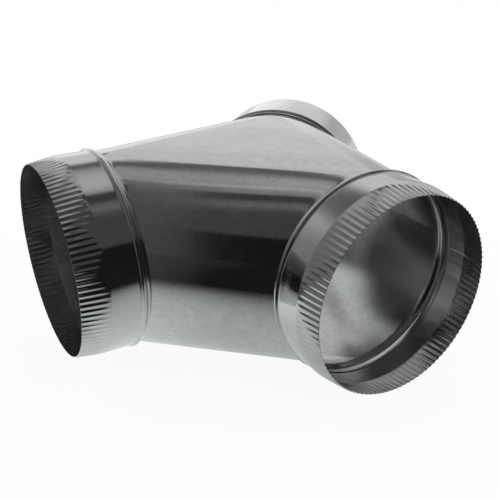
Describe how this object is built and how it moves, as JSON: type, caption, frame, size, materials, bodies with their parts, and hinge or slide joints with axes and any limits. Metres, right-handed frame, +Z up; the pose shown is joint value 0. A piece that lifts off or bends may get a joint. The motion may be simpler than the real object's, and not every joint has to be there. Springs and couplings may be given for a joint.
{
  "type": "duct wye",
  "caption": "Round sheet-metal duct wye: a folded body splits one plain-ended trunk into two crimped branch collars at right angles to each other.",
  "frame": {"origin": "centre of the trunk collar's mouth", "axes": "+Y out of the trunk along its axis, +X across both branches, +Z up, square to the plane of the three axes"},
  "size_m": [0.3672, 0.2926, 0.1566],
  "materials": {
    "galvanised_steel": "bright galvanised sheet, faintly mottled"
  },
  "bodies": {
    "root": {"body": "galvanised_steel", "left_branch_collar": "galvanised_steel", "right_branch_collar": "galvanised_steel", "trunk_collar": "galvanised_steel"}
  },
  "joints": []
}
